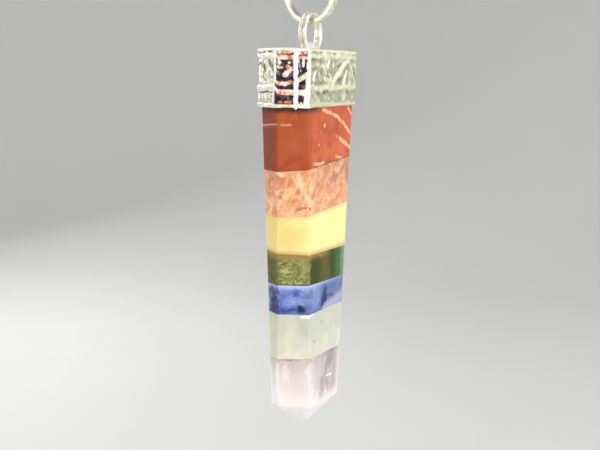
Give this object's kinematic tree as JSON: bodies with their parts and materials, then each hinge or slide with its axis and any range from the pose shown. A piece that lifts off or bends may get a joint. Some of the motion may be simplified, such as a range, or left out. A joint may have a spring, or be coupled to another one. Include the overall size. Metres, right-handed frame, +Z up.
{
  "type": "chakra pendant",
  "caption": "Pendant of bonded coloured stones ground to a flat tapering six-sided point, in a scroll-stamped silver-tone cap whose soldered eye hangs in a jump ring.",
  "frame": {"origin": "inside top of the jump ring, where a chain or cord runs through it", "axes": "+Z up along the hanging pendant; the wide front side looks to -Y; the width runs along X; the jump ring stands in the YZ plane"},
  "size_m": [0.0152, 0.0064, 0.0522],
  "materials": {
    "ring_wire": "silver plated, polished",
    "stamped_cap": "silver plated, worn and darkened in its recesses",
    "red_jasper": "polished, opaque",
    "orange_stone": "polished, mottled",
    "yellow_stone": "polished, slightly translucent",
    "green_stone": "polished, with a shimmer",
    "blue_stone": "polished, with dark patches and white veins",
    "white_stone": "polished, milky",
    "violet_stone": "polished, milky and translucent"
  },
  "bodies": {
    "ring": {"jump_ring": "ring_wire"},
    "pendant": {"cap": "stamped_cap", "red_stone": "red_jasper", "orange_stone": "orange_stone", "yellow_stone": "yellow_stone", "green_stone": "green_stone", "blue_stone": "blue_stone", "white_stone": "white_stone", "violet_point": "violet_stone"}
  },
  "joints": [
    {"name": "pendant_swing", "type": "hinge", "parent": "ring", "child": "pendant", "pos_m": [0, 0, -0.00522], "axis": [0, 1, 0], "range_deg": [-105, 105]}
  ]
}
